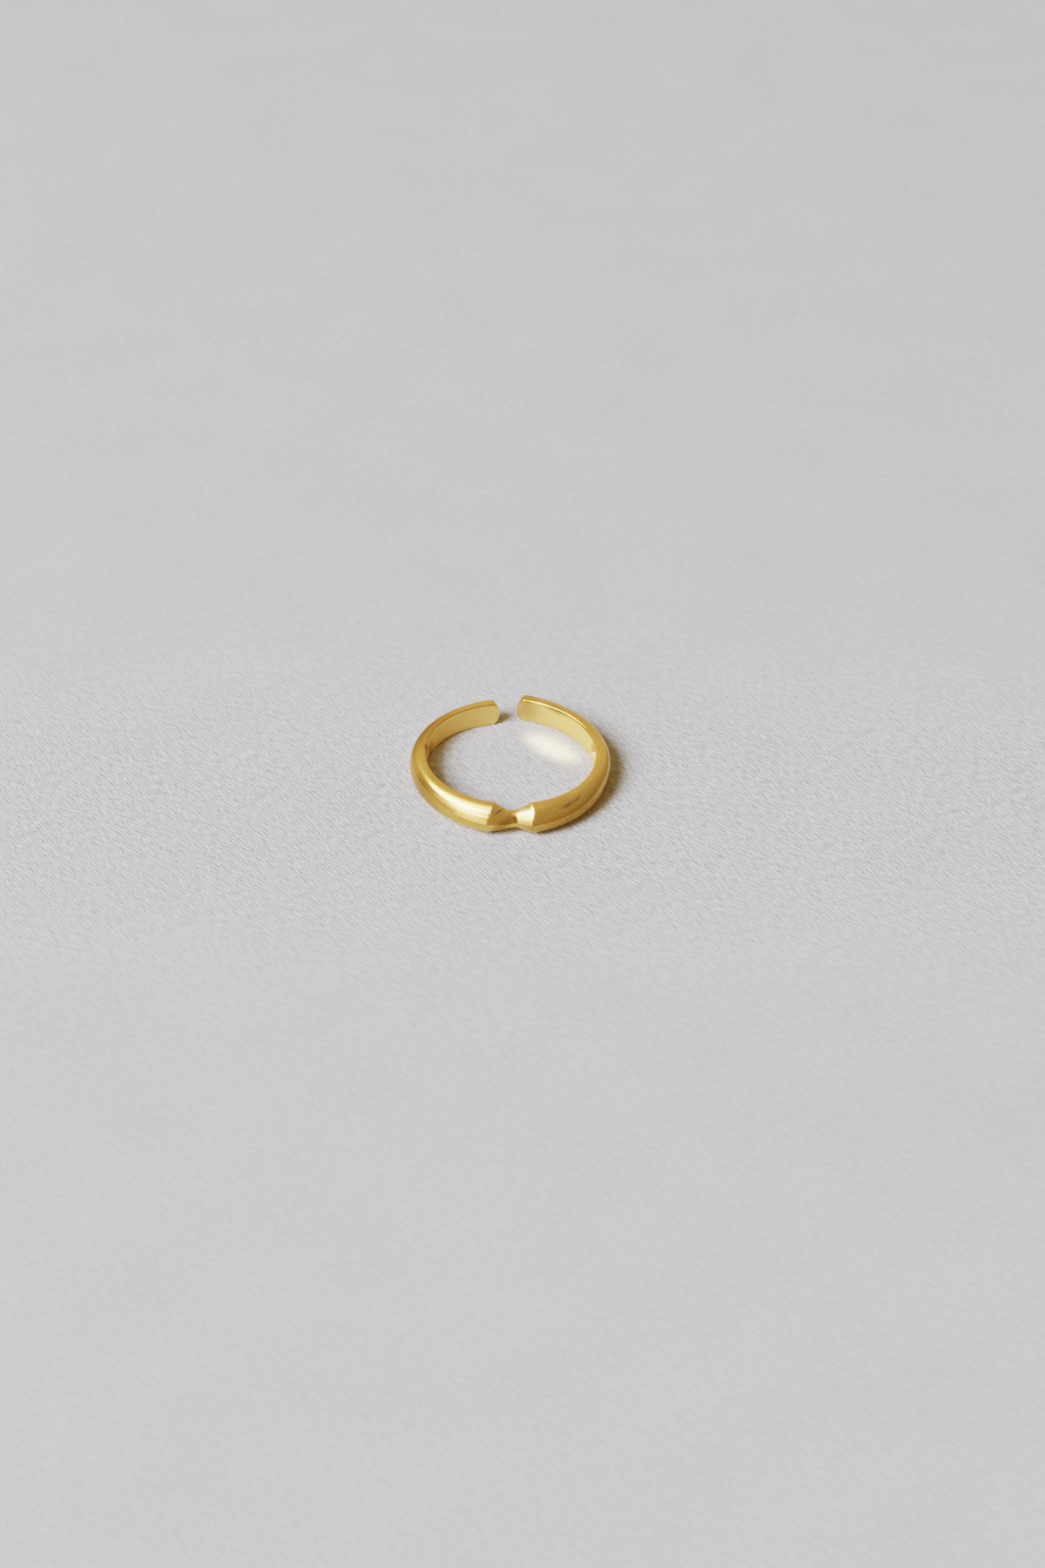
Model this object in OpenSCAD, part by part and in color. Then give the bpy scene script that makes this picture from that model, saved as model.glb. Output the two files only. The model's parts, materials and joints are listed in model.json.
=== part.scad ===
// Open finger ring: one rounded bar bent to a circle, pinched to a waist in front and open at the back.
// It lies on its side. +Z is up and is the finger's axis, the front with the waist looks to -Y, and the
// origin is on the axis of the finger opening, halfway up the band.
// Angles round the ring run from the middle of the front: plus towards +X, minus towards -X.

/* [Finger opening] */
// Inside diameter
bore_d = 16.6; // [15.6:0.2:18.6]
// Angle where the right arm, sprung a little open, leaves the round of the opening
spring_from = 62; // [56:2:84]
// How much larger the inside radius is that the right arm is bent to
spring_out = 0.58; // [0.3:0.02:0.9]

/* [Band] */
// Height of the band, across the finger's axis
band_h = 2.5; // [2.2:0.05:3]
// Squareness of the outer face in front, where 2 is an ellipse and more is boxier
front_power = 2.2; // [2:0.1:5]
// Squareness of the outer face at the back
back_power = 3.8; // [2:0.1:5]
// Radius that softens the two inner edges
edge_r = 0.35; // [0.3:0.05:0.5]

/* [Waist] */
// Angle from the middle of the front over which the band narrows to the waist, on each side
ridge_at = 11.8; // [10:0.2:16]
// Height of the waist
waist_h = 1.4; // [1.2:0.05:1.8]
// How far the waist is cut in from the inside
waist_in = 0.35; // [0.2:0.05:0.5]
// Hollowness of the slopes that the height and the inside take, where 1 is straight
waist_power = 1.4; // [1:0.1:2]
// Half of the angle that the flat middle of the waist takes up
waist_flat = 1; // [0.5:0.1:2]

/* [Cut in the waist's outer face] */
// Depth of the cut
waist_out = 0.9; // [0.5:0.05:1.1]
// Angle from the middle of the front to the ridge where the left slope begins
cut_left = 12.8; // [11:0.1:16]
// Angle to the ridge where the right slope begins, which is shorter and steeper
cut_right = 10.2; // [9:0.1:14]
// Angle of the middle of the cut's flat bottom, a little to the right
cut_at = 1.4; // [-1:0.1:2]

/* [Ends] */
// Angle to the tip of the left arm
left_end = 174.2; // [170:0.2:176]
// Angle to the tip of the right arm
right_end = 170.8; // [166:0.2:172]
// Length over which the tips are rounded, seen from inside the ring
tip_len = 0.75; // [0.5:0.05:1.2]

/* [Hollows] */
// Depth of the two hollows inside the thick front half
hollow_depth = 0.5; // [0.3:0.05:0.7]
// Height of the hollows
hollow_h = 1.7; // [1.2:0.1:1.9]
// Angle at which the hollows begin, past the solid stretch beside the waist
hollow_from = 40; // [30:1:60]
// Angle at which the hollows end, on each arm
hollow_to = 105; // [96:1:110]

/* [Hidden] */
$fn = 180;

bore_r = bore_d / 2;
spring_r = bore_r + spring_out;
// Stock on the inside of the swept bar, which the finger opening trims to true cylinders
trim = 0.15;
// The tips are eased back from the opening instead, over this stretch behind their round
tip_ease = 0.03;
ease_len = 1.2;
// Thickness of the band on each side, by angle from the middle of the front
THICKNESS = [
    // angle, left side, right side
    [0, 2.8, 2.8],
    [30, 2.4, 2.4],
    [60, 1.75, 1.75],
    [90, 1.5, 1.5],
    [120, 1.22, 1.34],
    [150, 1.18, 1.4],
    [180, 1.45, 1.78],
];
ANGLE = 0;
LEFT = 1;
RIGHT = 2;
// Share of the thickness that is left at the very tip
tip_share = 0.45;
// Angle over which the ridges are rounded, each way, and the steps that are averaged for it
ridge_soft = 0.8;
SOFT_STEPS = [-1:0.25:1];
// Steps of the swept bar: across the outer face, round an inner edge, round a tip, and degrees along it
face_steps = 14;
edge_steps = 3;
tip_steps = 7;
arm_step = 4;
ridge_step = 1;

// Direction in plan at an angle from the front
function toward(a) = [sin(a), -cos(a)];

// Slope of a table's column at a row, level at the first and last rows
function row_slope(rows, i, col) =
    i == 0 || i == len(rows) - 1 ? 0
    : (rows[i + 1][col] - rows[i - 1][col]) / (rows[i + 1][ANGLE] - rows[i - 1][ANGLE]);

// Smooth curve through a table's column
function smooth(rows, a, col) =
    let (
        i = max([for (k = [0:len(rows) - 2]) if (a >= rows[k][ANGLE]) k]),
        span = rows[i + 1][ANGLE] - rows[i][ANGLE],
        u = (a - rows[i][ANGLE]) / span,
        rise = rows[i + 1][col] - rows[i][col],
        from_slope = row_slope(rows, i, col) * span,
        to_slope = row_slope(rows, i + 1, col) * span
    )
    rows[i][col] + from_slope * u + (3 * rise - 2 * from_slope - to_slope) * u ^ 2
    + (from_slope + to_slope - 2 * rise) * u ^ 3;

function thickness(a) = smooth(THICKNESS, abs(a), a < 0 ? LEFT : RIGHT);

// The inner wall: its radius, its centre in plan and its point in plan at an angle
function wall_r(a) = a > spring_from ? spring_r : bore_r;
function wall_centre(a) = a > spring_from ? (bore_r - spring_r) * toward(spring_from) : [0, 0];
function wall_point(a) = wall_centre(a) + wall_r(a) * toward(a);

// Share of the waist's full narrowing at an angle, before its ridges are rounded
function sharp_pinch(a) =
    1 - max(0, min(1, (abs(a) - waist_flat) / (ridge_at - waist_flat))) ^ waist_power;

// The cut in the outer face, straight between its ridges and its flat bottom
CUT = [
    // angle, share of the full depth
    [-cut_left, 0],
    [cut_at - waist_flat, 1],
    [cut_at + waist_flat, 1],
    [cut_right, 0],
];

// The same two with rounded ridges
function average(list) = list * [for (x = list) 1] / len(list);
function pinch(a) = average([for (s = SOFT_STEPS) sharp_pinch(a + s * ridge_soft)]);
function cut(a) = average([for (s = SOFT_STEPS) lookup(a + s * ridge_soft, CUT)]);

// Share of the full height at a distance from the tip, which is rounded as an ellipse
function tip_round(distance) = sqrt(1 - (1 - min(1, distance / tip_len)) ^ 2);
function tip_distance(a) =
    min((a + left_end) * bore_r, (right_end - a) * spring_r) * PI / 180;

// Share of the inside stock near the tips: all of it on the band, none at the very end
function stock(a) = max(0, min(1, (tip_distance(a) - tip_len) / ease_len));

// Angles of the sections: close together at the tips and the waist, wide apart on the arms
tip_distances = [for (i = [1:tip_steps]) tip_len * (1 - cos(90 * i / (tip_steps + 1)))];
function spread(from, to, step) =
    let (n = ceil((to - from) / step))
    [for (i = [0:n - 1]) from + (to - from) * i / n];
left_body = -left_end + tip_len / bore_r * 180 / PI;
right_body = right_end - tip_len / spring_r * 180 / PI;
waist_zone = max(ridge_at, cut_left, cut_right) + 2 * ridge_soft;
STATIONS = concat(
    [for (d = tip_distances) -left_end + d / bore_r * 180 / PI],
    spread(left_body, -waist_zone, arm_step),
    spread(-waist_zone, waist_zone, ridge_step),
    spread(waist_zone, right_body, arm_step),
    [for (i = [tip_steps - 1:-1:0]) right_end - tip_distances[i] / spring_r * 180 / PI]
);

// Squareness of the outer face at an angle
function dome_power(a) = front_power + (back_power - front_power) * (1 - cos(a)) / 2;

// Cross-section at an angle, as points [distance out from the inner wall, height]
function section(a) =
    let (
        waist = pinch(a),
        full = tip_round(tip_distance(a)),
        half_h = full * (band_h + (waist_h - band_h) * waist) / 2,
        stocked = stock(a) * (1 - waist),
        inner = waist_in * waist - trim * stocked + tip_ease * (1 - stock(a)),
        soft = min(edge_r - trim * (1 - stocked), half_h / 2),
        share = tip_share + (1 - tip_share) * full,
        outer = share * (thickness(a) - waist_out * cut(a)),
        from = inner + soft,
        k = 2 / dome_power(a)
    )
    concat(
        [for (i = [0:face_steps])
            let (f = -90 + 180 * i / face_steps)
            [from + (outer - from) * cos(f) ^ k, half_h * sign(f) * abs(sin(f)) ^ k]],
        [for (i = [1:edge_steps])
            let (f = 90 * i / edge_steps)
            [inner + soft * (1 - sin(f)), half_h - soft * (1 - cos(f))]],
        [for (i = [edge_steps:-1:1])
            let (f = 90 * i / edge_steps)
            [inner + soft * (1 - sin(f)), soft * (1 - cos(f)) - half_h]]
    );

function placed(a) =
    [for (p = section(a)) let (q = wall_point(a) + p[0] * toward(a)) [q[0], q[1], p[1]]];

// Solid through a list of sections with the same number of points, closed at both ends
module swept(sections) {
    rows = len(sections);
    n = len(sections[0]);
    sides = [for (r = [0:rows - 2], i = [0:n - 1])
        let (here = r * n + i, next = r * n + (i + 1) % n)
        each [[here, next, next + n], [here, next + n, here + n]]];
    first = [for (i = [1:n - 2]) [0, i + 1, i]];
    last = [for (t = first) [for (i = [2:-1:0]) (rows - 1) * n + t[i]]];
    polyhedron([for (s = sections) each s], concat(sides, first, last), convexity = 6);
}

// Slice of a round column between two angles, its axis at a point in plan
module slice(centre, r, from, to, height) {
    translate([centre[0], centre[1], -height / 2])
        rotate([0, 0, from - 90])
            rotate_extrude(angle = to - from)
                square([r, height]);
}

// The space inside the inner wall, grown outwards
module wall_space(grow, height) {
    gap_middle = (right_end + 360 - left_end) / 2;
    slice([0, 0], bore_r + grow, gap_middle - 360, spring_from, height);
    slice(wall_centre(right_end), spring_r + grow, spring_from, gap_middle, height);
}

// Long slot that reaches out from the axis, with round ends
module slot(from, to) {
    reach = 2 * bore_r;
    end_angle = asin(hollow_h / 2 / bore_r);
    slice([0, 0], reach, from + end_angle, to - end_angle, hollow_h);
    for (a = [from + end_angle, to - end_angle])
        rotate([0, 0, a - 90]) rotate([0, 90, 0]) cylinder(h = reach, d = hollow_h);
}

module band() color("goldenrod")
    difference() {
        swept([for (a = STATIONS) placed(a)]);
        wall_space(0, 2 * band_h);
        intersection() {
            wall_space(hollow_depth, band_h);
            union() {
                slot(-hollow_to, -hollow_from);
                slot(hollow_from, hollow_to);
            }
        }
    }

band();
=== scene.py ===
import json
import math

import bpy
import numpy as np
from mathutils import Matrix, Vector


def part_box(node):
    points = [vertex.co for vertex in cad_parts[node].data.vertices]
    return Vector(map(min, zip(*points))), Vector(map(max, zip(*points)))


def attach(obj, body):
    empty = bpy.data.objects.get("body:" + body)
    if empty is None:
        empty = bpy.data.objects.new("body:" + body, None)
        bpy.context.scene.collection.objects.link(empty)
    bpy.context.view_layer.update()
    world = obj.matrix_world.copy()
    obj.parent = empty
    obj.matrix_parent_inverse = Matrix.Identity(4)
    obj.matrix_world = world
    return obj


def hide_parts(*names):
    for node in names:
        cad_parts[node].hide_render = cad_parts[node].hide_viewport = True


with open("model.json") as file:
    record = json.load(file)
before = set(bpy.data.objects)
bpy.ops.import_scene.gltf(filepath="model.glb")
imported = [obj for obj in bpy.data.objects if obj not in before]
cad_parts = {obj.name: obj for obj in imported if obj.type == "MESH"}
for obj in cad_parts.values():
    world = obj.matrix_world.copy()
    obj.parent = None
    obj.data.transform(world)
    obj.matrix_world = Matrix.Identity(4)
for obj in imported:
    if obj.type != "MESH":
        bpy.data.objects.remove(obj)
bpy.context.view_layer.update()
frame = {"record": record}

MM = 0.001
LOW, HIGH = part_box("band")

# Sizes of the band in millimetres and degrees, the same as the solid's
OPENING = next(m for m in frame["record"]["mounts"] if m["name"] == "finger_opening")
BORE_R = OPENING["dims"]["r_mm"]
BAND_H = (HIGH.z - LOW.z) / MM
# The right arm is sprung open: from this angle on, its inner wall has a radius this much larger
SPRING_FROM, SPRING_OUT = 62, 0.58
SPRING_R = BORE_R + SPRING_OUT
# Squareness of the outer face in front and at the back, where 2 is an ellipse and more is boxier
FRONT_POWER, BACK_POWER = 2.2, 3.8
# Round of the two inner edges, outwards and downwards
EDGE_OUT, EDGE_DOWN = 0.2, 0.16
# The waist: where it begins, its height, how far it is cut in from the inside and from the outside,
# how hollow its slopes are, and half of its flat middle
RIDGE_AT = 11.8
WAIST_H = 1.4
WAIST_IN, WAIST_OUT = 0.35, 0.9
WAIST_POWER = 1.4
WAIST_FLAT = 1
# Angle over which the waist's ridges are rounded, each way, and the steps that are averaged for it
RIDGE_SOFT = 0.8
RIDGE_STEPS = 17
# The ends: where they are, the length of their round, and the share of the thickness left there
LEFT_END, RIGHT_END = 174.2, 170.8
TIP_LEN = 0.75
TIP_SHARE = 0.45
# The two hollows inside the thick front half: depth, height, where they begin and end, softness
HOLLOW_DEPTH, HOLLOW_H = 0.5, 1.7
HOLLOW_FROM, HOLLOW_TO = 40, 105
HOLLOW_SOFT = 0.12
# How far the fine surface stays inside the solid's straight-sided facets
SKIN = 0.01

# The cut in the waist's outer face: its two ridges and the middle of its flat bottom
CUT_LEFT, CUT_RIGHT, CUT_AT = 12.8, 10.2, 1.4
CUT = np.array([
    # angle from the front, share of the full depth
    (-CUT_LEFT, 0),
    (CUT_AT - WAIST_FLAT, 1),
    (CUT_AT + WAIST_FLAT, 1),
    (CUT_RIGHT, 0),
])

THICKNESS = np.array([
    # angle from the front, left side, right side
    (0, 2.8, 2.8),
    (30, 2.4, 2.4),
    (60, 1.75, 1.75),
    (90, 1.5, 1.5),
    (120, 1.22, 1.34),
    (150, 1.18, 1.4),
    (180, 1.45, 1.78),
])
ANGLE, LEFT, RIGHT = 0, 1, 2

# Points of the mesh: across the outer face, round an inner edge, up the inner wall, round a tip
FACE_POINTS = 56
EDGE_POINTS = 6
WALL_POINTS = 44
TIP_POINTS = 16
# Share of a tip's quarter turn at which its first section stands, so that it isn't a single point
TIP_START = 0.05
# Steps along the band in degrees, and how far the finer ones reach: past the waist's ridges, past
# a hollow's end, and into the hollow
PLAIN_STEP, HOLLOW_STEP, WAIST_STEP = 0.8, 0.4, 0.25
WAIST_REACH = 3
HOLLOW_PAST, HOLLOW_INTO = 2, 8


# The band's form; most functions take an array of angles

def toward(a):
    """Direction in plan at angles from the front."""
    return np.stack([np.sin(np.radians(a)), -np.cos(np.radians(a))], -1)


def smooth(rows, a, col):
    """Smooth curve through a table's column, level at its two ends."""
    x, y = rows[:, ANGLE], rows[:, col]
    slope = np.zeros(len(x))
    slope[1:-1] = (y[2:] - y[:-2]) / (x[2:] - x[:-2])
    i = np.clip(np.searchsorted(x, a, side="right") - 1, 0, len(x) - 2)
    span = x[i + 1] - x[i]
    u = (a - x[i]) / span
    rise, start, end = y[i + 1] - y[i], slope[i] * span, slope[i + 1] * span
    return y[i] + start * u + (3 * rise - 2 * start - end) * u**2 + (start + end - 2 * rise) * u**3


def thickness(a):
    """Thickness of the band, without the waist."""
    away = np.abs(a)
    return np.where(a < 0, smooth(THICKNESS, away, LEFT), smooth(THICKNESS, away, RIGHT))


def wall(a):
    """Point in plan on the inner wall, whose right arm is bent to a larger radius."""
    shift = (BORE_R - SPRING_R) * toward(SPRING_FROM)
    sprung = (a > SPRING_FROM)[..., None]
    return np.where(sprung, shift + SPRING_R * toward(a), BORE_R * toward(a))


def rounded(sharp, a):
    """A function of the angle, averaged over the width of a rounded ridge."""
    return np.mean([sharp(a + s * RIDGE_SOFT) for s in np.linspace(-1, 1, RIDGE_STEPS)], axis=0)


def pinch(a):
    """Share of the waist's full narrowing, with rounded ridges."""
    def sharp(b):
        u = (np.abs(b) - WAIST_FLAT) / (RIDGE_AT - WAIST_FLAT)
        return 1 - np.clip(u, 0, 1) ** WAIST_POWER
    return rounded(sharp, a)


def cut(a):
    """Share of the full depth of the cut in the waist's outer face, with rounded ridges."""
    return rounded(lambda b: np.interp(b, CUT[:, 0], CUT[:, 1]), a)


def tip_round(a):
    """Share of the full height near the tips, which are rounded as ellipses."""
    left = np.radians(a + LEFT_END) * BORE_R
    right = np.radians(RIGHT_END - a) * SPRING_R
    return np.sqrt(1 - (1 - np.clip(np.minimum(left, right) / TIP_LEN, 0, 1)) ** 2)


def dome(a):
    """Points across the outer face, in shares of its own depth and half height."""
    power = FRONT_POWER + (BACK_POWER - FRONT_POWER) * (1 - np.cos(np.radians(a))) / 2
    f = np.radians(np.linspace(-90, 90, FACE_POINTS))
    c, s = np.cos(f), np.sin(f)
    r = (np.abs(c) ** power + np.abs(s) ** power) ** (-1 / power)
    return r * c, r * s


def hollow_depth(a, z):
    """Depth of the two long hollows with round ends, cast with soft edges."""
    radius = HOLLOW_H / 2
    end = np.degrees(radius / BORE_R)
    middle, half = (HOLLOW_FROM + HOLLOW_TO) / 2, (HOLLOW_TO - HOLLOW_FROM) / 2 - end
    along = np.radians(np.maximum(np.abs(np.abs(a) - middle) - half, 0)) * BORE_R
    inside = (radius - np.hypot(along, z)) / HOLLOW_SOFT
    # the edge's slope begins one softness outside the outline and ends two inside it
    t = np.clip((inside + 1) / 3, 0, 1)
    return HOLLOW_DEPTH * t * t * (3 - 2 * t)


def spread(start, end, step):
    """Angles from start up to just before end, in even steps of about the given size."""
    n = round((end - start) / step)
    return np.arange(n) * (end - start) / n + start


def stations():
    """Angles of the sections: close at the tips, the waist and the hollows' ends."""
    rounds = TIP_LEN * (1 - np.cos(np.linspace(TIP_START, 1, TIP_POINTS) * math.pi / 2))
    left_tip = -LEFT_END + np.degrees(rounds[:-1] / BORE_R)
    right_tip = (RIGHT_END - np.degrees(rounds / SPRING_R))[::-1]
    left_body = -LEFT_END + np.degrees(TIP_LEN / BORE_R)
    right_body = RIGHT_END - np.degrees(TIP_LEN / SPRING_R)
    # stretches from the waist rightwards: plain, a hollow's end, plain, its other end, plain
    right = [
        RIDGE_AT + WAIST_REACH,
        HOLLOW_FROM - HOLLOW_PAST,
        HOLLOW_FROM + HOLLOW_INTO,
        HOLLOW_TO - HOLLOW_INTO,
        HOLLOW_TO + HOLLOW_PAST,
    ]
    side = [PLAIN_STEP, HOLLOW_STEP, PLAIN_STEP, HOLLOW_STEP, PLAIN_STEP]
    turns = [left_body, *(-a for a in reversed(right)), *right, right_body]
    steps = side + [WAIST_STEP] + side
    body = [spread(*stretch) for stretch in zip(turns, turns[1:], steps)]
    return np.concatenate([left_tip, *body, right_tip])


def band_points(angles):
    """Grid of the band's points in metres, and their share of plain inner wall.

    Each angle gives one row, a section, and each column runs along the band.
    """
    a = angles[:, None]
    waist, full = pinch(a), tip_round(a)
    half_h = full * (BAND_H + (WAIST_H - BAND_H) * waist) / 2
    inner = WAIST_IN * waist
    outer = (TIP_SHARE + (1 - TIP_SHARE) * full) * (thickness(a) - WAIST_OUT * cut(a)) - SKIN
    edge_out = np.minimum(EDGE_OUT, half_h / 2)
    edge_down = np.minimum(EDGE_DOWN, half_h / 2)

    face_out, face_up = dome(a)
    start = inner + edge_out
    face_out = start + (outer - start) * face_out
    face_up = half_h * face_up

    turn = np.radians(np.linspace(0, 90, EDGE_POINTS + 1)[1:])
    round_out = inner + edge_out * (1 - np.sin(turn))
    round_up = half_h - edge_down * (1 - np.cos(turn))

    wall_up = (half_h - edge_down) * np.linspace(1, -1, WALL_POINTS + 2)[1:-1]
    hollow = hollow_depth(a, wall_up)

    out = np.hstack([face_out, round_out, inner + hollow, round_out[:, ::-1]])
    up = np.hstack([face_up, round_up, wall_up, -round_up[:, ::-1]])
    plan = wall(a) + out[:, :, None] * toward(a)
    inside = np.zeros(out.shape)
    first = FACE_POINTS + EDGE_POINTS
    inside[:, first:first + WALL_POINTS] = 1 - hollow / HOLLOW_DEPTH
    return np.concatenate([plan, up[:, :, None]], axis=2) * MM, inside


def swept_faces(rows, n):
    """Faces between rows of n points each, closed round every row and capped at both ends."""
    r, i = np.meshgrid(np.arange(rows - 1), np.arange(n), indexing="ij")
    here, beside = r * n + i, r * n + (i + 1) % n
    faces = np.stack([here, here + n, beside + n, beside], -1).reshape(-1, 4).tolist()
    # a section is the same above and below, so a cap is a ladder between mirrored points
    mirror = (FACE_POINTS - 1 - np.arange(n)) % n
    for first, flip in ((0, False), ((rows - 1) * n, True)):
        for k in range(FACE_POINTS // 2, (FACE_POINTS + n) // 2):
            quad = [k % n, (k + 1) % n, mirror[(k + 1) % n], mirror[k % n]]
            quad = [first + int(q) for q in dict.fromkeys(quad)]
            if len(quad) > 2:
                faces.append(quad[::-1] if flip else quad)
    return faces


def band_mesh(name):
    """The band's closed mesh, with the places that its finish and its painted shade and highlights
    are drawn by.
    """
    angles = stations()
    grid, inside = band_points(angles)
    rows, n = inside.shape
    mesh = bpy.data.meshes.new(name)
    mesh.from_pydata(grid.reshape(-1, 3).tolist(), [], swept_faces(rows, n))
    mesh.validate()
    mesh.shade_smooth()
    # millimetres along the band and round its section, and the share of plain inner wall
    along = np.broadcast_to(np.radians(angles)[:, None] * BORE_R, (rows, n))
    steps = np.linalg.norm(np.diff(grid, axis=1), axis=2) / MM
    across = np.hstack([np.zeros((rows, 1)), np.cumsum(steps, axis=1)])
    place = np.stack([along, across, inside], -1)
    mesh.attributes.new("band", "FLOAT_VECTOR", "POINT").data.foreach_set("vector", place.ravel())
    return mesh


# Nodes of the materials

# Places of the Mix node's colour inputs and output, whose names are shared with other data types
MIX_FROM, MIX_TO, MIX_RESULT = 6, 7, 2


def node_tree(name):
    """New material, its node tree and its shader."""
    material = bpy.data.materials.new(name)
    material.use_nodes = True
    return material, material.node_tree, material.node_tree.nodes["Principled BSDF"]


def add(tree, kind, inputs=None, **settings):
    """One node with its settings; an input is a value, or another node's output to link."""
    node = tree.nodes.new(kind)
    for key, value in settings.items():
        setattr(node, key, value)
    for key, value in (inputs or {}).items():
        if isinstance(value, bpy.types.NodeSocket):
            tree.links.new(value, node.inputs[key])
        else:
            node.inputs[key].default_value = value
    return node


def object_place(tree):
    """Place of a point on the object, in metres."""
    return add(tree, "ShaderNodeTexCoord").outputs["Object"]


def stretched(tree, vector, scale, turn=0):
    """Coordinates turned about Z by an angle in degrees, then scaled along each axis."""
    turning = {"Vector": vector, "Rotation": (0, 0, math.radians(turn))}
    turned = add(tree, "ShaderNodeMapping", turning).outputs[0]
    return add(tree, "ShaderNodeMapping", {"Vector": turned, "Scale": scale}).outputs[0]


def noise(tree, vector, scale=1.0, detail=2.0):
    """Value of soft noise, around 0.5, with this many finer layers in it."""
    inputs = {"Vector": vector, "Scale": scale, "Detail": detail}
    return add(tree, "ShaderNodeTexNoise", inputs).outputs["Fac"]


def ranged(tree, value, start, end, low, high):
    """A value between start and end, carried over to between low and high."""
    inputs = {"Value": value, "From Min": start, "From Max": end, "To Min": low, "To Max": high}
    return add(tree, "ShaderNodeMapRange", inputs).outputs["Result"]


def math_node(tree, operation, *values):
    """Result of an operation; MULTIPLY_ADD is the first times the second, plus the third."""
    return add(tree, "ShaderNodeMath", dict(enumerate(values)), operation=operation).outputs[0]


def two_tone(tree, value, dark, light):
    """Colour between two tones, by a value from 0 to 1; a tone is a colour or a node's output."""
    tones = {"Factor": value, MIX_FROM: dark, MIX_TO: light}
    return add(tree, "ShaderNodeMix", tones, data_type="RGBA").outputs[MIX_RESULT]


def bump(tree, shader, height, depth):
    """Relief of the surface by a height from 0 to 1, this many metres deep."""
    node = add(tree, "ShaderNodeBump", {"Height": height, "Distance": depth})
    tree.links.new(node.outputs["Normal"], shader.inputs["Normal"])


# Satin gold

GOLD_DEEP, GOLD_LIGHT = (0.88, 0.59, 0.19, 1), (0.95, 0.66, 0.26, 1)
INSIDE_GOLD = 0.90, 0.65, 0.27, 1
# Roughness where the brushing is finest and coarsest, and of the inner wall, which is partly matt
ROUGHNESS = 0.16, 0.27
INSIDE_ROUGHNESS = 0.5
INSIDE_METAL = 0.6
# Scale of the brushing, in noise per millimetre along the band and round its section, and of the
# grain and the clouds of tone, in noise per metre
BRUSHING = 1.3, 17, 1
GRAIN, CLOUDS = 12000, 380
# Values of the clouds that have the deep and the light tone
CLOUDS_SPAN = 0.3, 0.7
# Share of the clouds in the roughness, and the values that have the two roughnesses
MATT_CLOUDS = 0.6
MATT_SPAN = 0.5, 1.1
# Share of the grain in the relief, and the relief's depth in millimetres
RELIEF_GRAIN = 0.5
GOLD_RELIEF = 0.0015

# Tones painted on the gold: brown for painted shade, grey for painted shade and grey patches, pale
# for painted highlights
SHADE_BROWN, GREY, PALE = (0.30, 0.15, 0.04, 1), (0.26, 0.20, 0.13, 1), (1, 0.94, 0.75, 1)
# Painted shade, painted highlights, fine scratches and grey patches on the gold, in millimetres
# along the band and round its section
PAINTED_LIGHT_MARKS = [
    # along, across, half length, half width, slant in degrees, tone, share of that tone
    # painted shade: darker stretches low on the outer face, where it mirrors the floor, and at the
    # foot of the waist
    (5.4, 2.65, 6.4, 1.15, 0, SHADE_BROWN, 0.7),
    (12.8, 2.5, 4, 0.9, 0, SHADE_BROWN, 0.5),
    (-1.1, 2.1, 1.3, 0.9, 0, SHADE_BROWN, 0.6),
    (-9, 2.2, 4.5, 1.2, 0, SHADE_BROWN, 0.5),
    (-16.5, 3, 5, 1.3, 0, SHADE_BROWN, 0.65),
    (0.22, 2.6, 0.25, 0.8, 0, SHADE_BROWN, 0.8),
    # painted shade on the top and the end of the right arm
    (20.9, 4.35, 1.6, 0.5, 0, SHADE_BROWN, 0.6),
    (23.8, 5.5, 1.4, 1.8, 0, SHADE_BROWN, 0.4),
    # painted shade at the end of the left hollow and on the wall beside it
    (-14.1, 4.5, 0.5, 0.4, 0, GREY, 0.9),
    (-16, 5.8, 0.9, 1, 0, SHADE_BROWN, 0.4),
    # grey patches on the right dome and on the waist's left slope
    (4.7, 4.15, 0.75, 0.3, 0, GREY, 0.55),
    (5.75, 4.1, 0.7, 0.22, 0, GREY, 0.5),
    (-1.15, 4.3, 0.5, 0.22, -30, GREY, 0.65),
    # painted shade on the edges of the end faces
    (24.72, 5.3, 0.2, 3, 0, GREY, 0.9),
    (-25.2, 4.8, 0.2, 1.5, 0, GREY, 0.7),
    # painted highlights on the top of the waist's right slope and on the end of the right hollow
    (1.15, 4.5, 0.5, 0.5, 0, PALE, 0.4),
    (15.03, 6.33, 0.24, 0.22, 0, PALE, 1),
    # fine scratches, with painted highlights on them
    (-6.66, 3.72, 0.14, 0.04, 60, PALE, 0.9),
    (-6.52, 3.85, 0.16, 0.04, 60, PALE, 0.9),
    (-6.36, 3.95, 0.12, 0.04, 60, PALE, 0.9),
    (3.45, 4.4, 0.35, 0.05, -5, PALE, 1),
    (-0.54, 3.27, 0.12, 0.05, -20, PALE, 0.9),
]
# A mark has its full share up to the first of these distances from its middle, in half lengths or
# widths, and none past the second; the grain is added to the distance and makes its edge ragged
MARK_FULL, MARK_GONE = 0.7, 1.5
MARK_RAGGED = 0.8


def with_painted_light(tree, tone, band, grain):
    """A tone with the painted shade, painted highlights, scratches and grey patches of the table
    over it.
    """
    for along, across, length, width, slant, painted_tone, share in PAINTED_LIGHT_MARKS:
        middle = {0: band, 1: (along, across, 0)}
        shift = add(tree, "ShaderNodeVectorMath", middle, operation="SUBTRACT").outputs[0]
        oval = stretched(tree, shift, (1 / length, 1 / width, 0), slant)
        away = add(tree, "ShaderNodeVectorMath", {0: oval}, operation="LENGTH").outputs["Value"]
        away = math_node(tree, "MULTIPLY_ADD", grain, MARK_RAGGED, away)
        strength = ranged(tree, away, MARK_FULL, MARK_GONE, share, 0)
        tone = two_tone(tree, strength, tone, painted_tone)
    return tone


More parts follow.
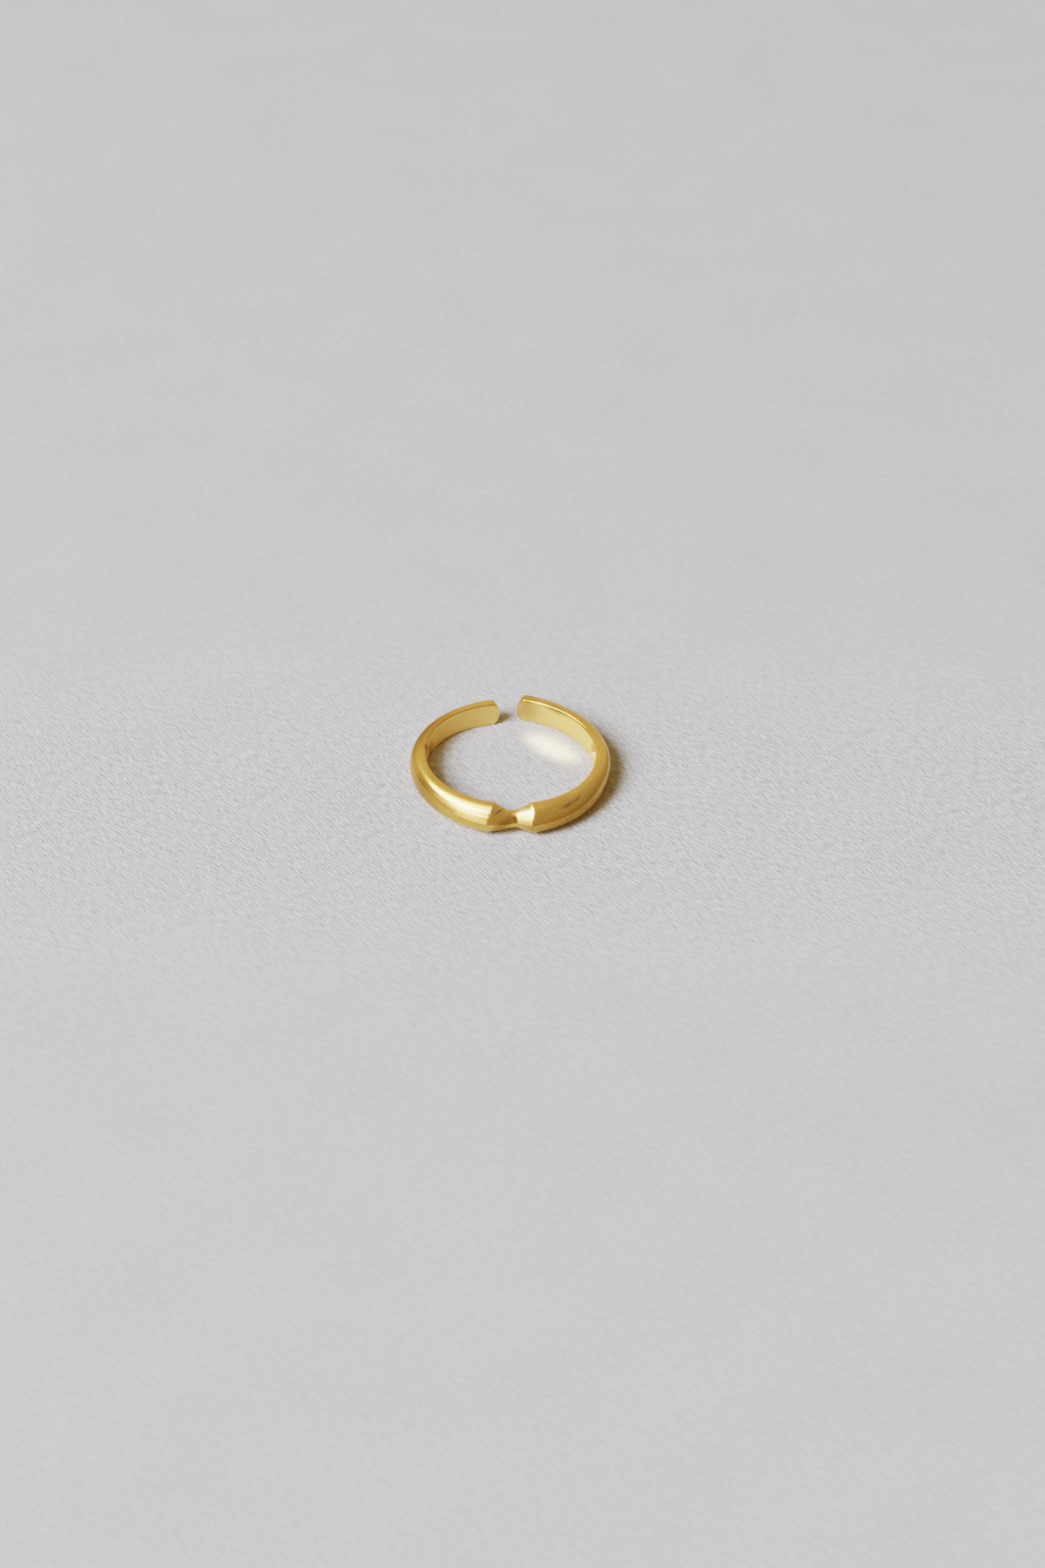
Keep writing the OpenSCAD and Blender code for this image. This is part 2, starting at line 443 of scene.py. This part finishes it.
def satin_gold():
    """Gold brushed along the band, with grain and clouds of tone, partly matt inside, and with
    painted shade and painted highlights over it.
    """
    material, tree, shader = node_tree("satin_gold")
    place = object_place(tree)
    band = add(tree, "ShaderNodeAttribute", attribute_name="band").outputs["Vector"]
    inside = add(tree, "ShaderNodeSeparateXYZ", {0: band}).outputs["Z"]
    brushing = noise(tree, stretched(tree, band, BRUSHING), detail=4)
    grain = noise(tree, place, GRAIN, detail=2)
    clouds = noise(tree, place, CLOUDS, detail=3)

    tone = two_tone(tree, ranged(tree, clouds, *CLOUDS_SPAN, 0, 1), GOLD_DEEP, GOLD_LIGHT)
    tone = two_tone(tree, inside, tone, INSIDE_GOLD)
    # the gold's tone with painted shade and painted highlights over it
    tree.links.new(with_painted_light(tree, tone, band, grain), shader.inputs["Base Color"])

    matt = math_node(tree, "MULTIPLY_ADD", clouds, MATT_CLOUDS, brushing)
    matt = ranged(tree, matt, *MATT_SPAN, *ROUGHNESS)
    matt = math_node(tree, "MULTIPLY_ADD", inside, INSIDE_ROUGHNESS - ROUGHNESS[0], matt)
    tree.links.new(matt, shader.inputs["Roughness"])
    tree.links.new(ranged(tree, inside, 0, 1, 1, INSIDE_METAL), shader.inputs["Metallic"])

    relief = math_node(tree, "MULTIPLY_ADD", grain, RELIEF_GRAIN, brushing)
    bump(tree, shader, relief, GOLD_RELIEF * MM)
    return material


# Pale floor

FLOOR_DARK, FLOOR_LIGHT = (0.37, 0.372, 0.374, 1), (0.97, 0.972, 0.974, 1)
FLOOR_ROUGHNESS = 0.9
# Scales of the texture in noise per metre, and the way that the fibres and dimples lie, in degrees
FIBRES, FIBRES_LIE = (1100, 6000, 1), 48
DIMPLES, DIMPLES_LIE = (900, 1700, 1), 40
FLOOR_GRAIN, FLOOR_CLOUDS = 6500, 90
# Strength of each of them, and the noise value that leaves the tone halfway between the two
FIBRES_SHARE, GRAIN_SHARE, DIMPLES_SHARE, CLOUDS_SHARE = 1.5, 0.9, 0.45, 0.12
TEXTURE_MIDDLE = 0.44
HALFWAY = 0.5
# The texture is clearest along a line this far in front of the axis and begins to fade this far on
# each side of it, in millimetres; then the distance and the strength at which a fading ends
CLEAR_AT, FADE_FROM = 6, 8
FINE_FADE = 28, 0.1
COARSE_FADE = 40, 0.4
# Depth of the floor's relief, in millimetres
FLOOR_RELIEF = 0.12


def pale_floor():
    """Pale handmade paper: felted fibres, fine grain, dimples and faint clouds, plainer far off."""
    material, tree, shader = node_tree("pale_floor")
    place = object_place(tree)
    fibres = noise(tree, stretched(tree, place, FIBRES, FIBRES_LIE), detail=3)
    grain = noise(tree, place, FLOOR_GRAIN, detail=2)
    dimples = noise(tree, stretched(tree, place, DIMPLES, DIMPLES_LIE), detail=1)
    clouds = noise(tree, place, FLOOR_CLOUDS, detail=2)
    depth = add(tree, "ShaderNodeSeparateXYZ", {0: place}).outputs["Y"]
    away = math_node(tree, "ABSOLUTE", math_node(tree, "ADD", depth, CLEAR_AT * MM))

    def near(end, faintest):
        return ranged(tree, away, FADE_FROM * MM, end * MM, 1, faintest)

    def varied(texture, share, total):
        change = math_node(tree, "SUBTRACT", texture, TEXTURE_MIDDLE)
        return math_node(tree, "MULTIPLY_ADD", change, share, total)

    fine = varied(fibres, FIBRES_SHARE, varied(grain, GRAIN_SHARE, 0))
    fine = math_node(tree, "MULTIPLY", fine, near(*FINE_FADE))
    coarse = math_node(tree, "MULTIPLY", varied(dimples, DIMPLES_SHARE, 0), near(*COARSE_FADE))
    relief = math_node(tree, "ADD", fine, coarse)
    tone = math_node(tree, "ADD", relief, varied(clouds, CLOUDS_SHARE, HALFWAY))
    tree.links.new(two_tone(tree, tone, FLOOR_DARK, FLOOR_LIGHT), shader.inputs["Base Color"])
    shader.inputs["Roughness"].default_value = FLOOR_ROUGHNESS
    bump(tree, shader, relief, FLOOR_RELIEF * MM)
    return material


# The ring
ring = bpy.data.objects.new("ring", band_mesh("ring"))
bpy.context.scene.collection.objects.link(ring)
ring.data.materials.append(satin_gold())
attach(ring, "root")
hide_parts("band")

# The floor that it lies on
FLOOR_SIZE = 2.0
bpy.ops.mesh.primitive_plane_add(size=FLOOR_SIZE, location=(0, 0, LOW.z))
floor = bpy.context.object
floor.name = "floor"
floor.data.materials.append(pale_floor())

# Light: a dim room, a window on the left, and the ceiling and walls that it brightens
DAYLIGHT, PALE_LIGHT, WARM_LIGHT = (0.92, 1, 1.18), (0.98, 0.95, 1.02), (1, 0.76, 0.35)
# The room is warmer where it fills the floor's shadows than where the gold mirrors it: this stands
# for the light that the gold throws into them
ROOM_FILL, ROOM_SEEN = (0.238, 0.183, 0.1, 1), (0.33, 0.285, 0.275, 1)
# Lamps: name, azimuth from the front, elevation, width and height seen from the ring, all in
# degrees, then radiance and colour. The ring's lamps light it alone, for the ceiling and the walls
# that the gold mirrors, and the window's own mirror image is left out.
WINDOW = "window", 305, 40, 28, 28, 12.2, DAYLIGHT
LEFT_WALL = "left_wall", 312, 20, 36, 42, 0.8, PALE_LIGHT
RING_LAMPS = [
    ("ceiling", 216, 60, 20, 24, 6, PALE_LIGHT),
    ("ceiling_back", 187, 55, 10, 10, 2.6, PALE_LIGHT),
    ("ceiling_left", 272, 66, 24, 22, 3, PALE_LIGHT),
    ("left_high", 302, 48, 26, 18, 1.2, PALE_LIGHT),
    ("left_back", 268, 44, 26, 18, 0.5, PALE_LIGHT),
    ("left_low", 272, 18, 34, 36, 0.18, WARM_LIGHT),
    ("back_wall", 180, 20, 60, 44, 0.17, WARM_LIGHT),
    ("back_left", 226, 14, 24, 28, 0.2, WARM_LIGHT),
]
LAMP_DISTANCE = 3.0
# Light that the right inner wall throws on the floor: its middle, length and width in millimetres,
# its turn in degrees, its power and colour, and the height and size of its lamp in metres
GLINT_AT = 4.3, 4.3
GLINT_LENGTH, GLINT_WIDTH = 8, 3
GLINT_TURN = -45
GLINT_POWER = 1.1
GLINT_COLOUR = 1, 0.9, 0.4
GLINT_HEIGHT, GLINT_LAMP = 0.12, 0.001


def dim_room():
    """World that fills the shadows in one colour and is mirrored in another."""
    world = bpy.data.worlds.new("world")
    bpy.context.scene.world = world
    world.use_nodes = True
    tree = world.node_tree
    mirrored = add(tree, "ShaderNodeLightPath").outputs["Is Glossy Ray"]
    room = two_tone(tree, mirrored, ROOM_FILL, ROOM_SEEN)
    tree.links.new(room, tree.nodes["Background"].inputs["Color"])


def place_lamp(data, place, receiver=None):
    """Lamp with these light data at a place; with a receiver it lights that alone."""
    lamp = bpy.data.objects.new(data.name, data)
    bpy.context.scene.collection.objects.link(lamp)
    lamp.location = place
    if receiver:
        lit = bpy.data.collections.new(data.name)
        lit.objects.link(receiver)
        lamp.light_linking.receiver_collection = lit
    return lamp


def out_from_ring(azimuth, elevation):
    """Direction from the ring, by the azimuth from the front, plus towards +X, in radians."""
    level = math.cos(elevation)
    return Vector((math.sin(azimuth) * level, -math.cos(azimuth) * level, math.sin(elevation)))


def soft_light(name, azimuth, elevation, wide, tall, radiance, colour, receiver=None):
    """Area light that faces the ring from afar, placed and sized by angles seen from it."""
    away = out_from_ring(math.radians(azimuth), math.radians(elevation))
    data = bpy.data.lights.new(name, "AREA")
    data.shape = "RECTANGLE"
    data.size = 2 * LAMP_DISTANCE * math.tan(math.radians(wide) / 2)
    data.size_y = 2 * LAMP_DISTANCE * math.tan(math.radians(tall) / 2)
    data.energy = radiance * math.pi * data.size * data.size_y
    data.color = colour
    lamp = place_lamp(data, away * LAMP_DISTANCE, receiver)
    lamp.rotation_euler = away.to_track_quat("Z", "Y").to_euler()
    return lamp


def gold_glint(name):
    """Long soft spot on the floor alone."""
    data = bpy.data.lights.new(name, "SPOT")
    data.energy = GLINT_POWER
    data.color = GLINT_COLOUR
    data.spot_size = 2 * math.atan(GLINT_WIDTH / 2 * MM / GLINT_HEIGHT)
    data.spot_blend = 1
    data.shadow_soft_size = GLINT_LAMP
    x, y = GLINT_AT
    lamp = place_lamp(data, (x * MM, y * MM, LOW.z + GLINT_HEIGHT), floor)
    lamp.scale.x = GLINT_LENGTH / GLINT_WIDTH
    lamp.rotation_euler.z = math.radians(GLINT_TURN)


dim_room()
soft_light(*WINDOW).visible_glossy = False
soft_light(*LEFT_WALL)
for lamp in RING_LAMPS:
    soft_light(*lamp, ring)
gold_glint("glint")

# The camera, at the photo's angle: the ring's front is turned a little to the left of it
CAMERA_AZIMUTH, CAMERA_ELEVATION, CAMERA_ROLL = -2.9, 35.96, 2.08
# Distance and near clipping in metres, and the sensor's height in millimetres
CAMERA_DISTANCE, CLIP_START, SENSOR_H = 0.35, 0.01, 36
# Height of the frame in pixels, the pixels to a metre at the ring, and how many of them the floor
# point on the ring's axis lies left of and above the frame's middle
FRAME_H = 1800
PIXELS_PER_M = 11698
AXIS_LEFT, AXIS_ABOVE = 14.64, 12.48


def photo_camera():
    """Camera aimed past the ring, so that the ring stands where it does in the photo."""
    azimuth, roll = math.radians(CAMERA_AZIMUTH), math.radians(CAMERA_ROLL)
    back = out_from_ring(azimuth, math.radians(CAMERA_ELEVATION))
    level = Vector((math.cos(azimuth), math.sin(azimuth), 0))
    upright = back.cross(level)
    right = math.cos(roll) * level + math.sin(roll) * upright
    up = back.cross(right)
    data = bpy.data.cameras.new("camera")
    data.sensor_fit = "VERTICAL"
    data.sensor_height = SENSOR_H
    data.lens = PIXELS_PER_M * CAMERA_DISTANCE / FRAME_H * SENSOR_H
    data.clip_start = CLIP_START
    camera = bpy.data.objects.new("camera", data)
    bpy.context.scene.collection.objects.link(camera)
    aim = Vector((0, 0, LOW.z)) + (right * AXIS_LEFT - up * AXIS_ABOVE) / PIXELS_PER_M
    axes = Matrix((right, up, back)).transposed().to_4x4()
    camera.matrix_world = Matrix.Translation(aim + back * CAMERA_DISTANCE) @ axes
    bpy.context.scene.camera = camera


photo_camera()
bpy.context.scene.view_settings.view_transform = "Filmic"
bpy.context.scene.view_settings.look = "Very High Contrast"
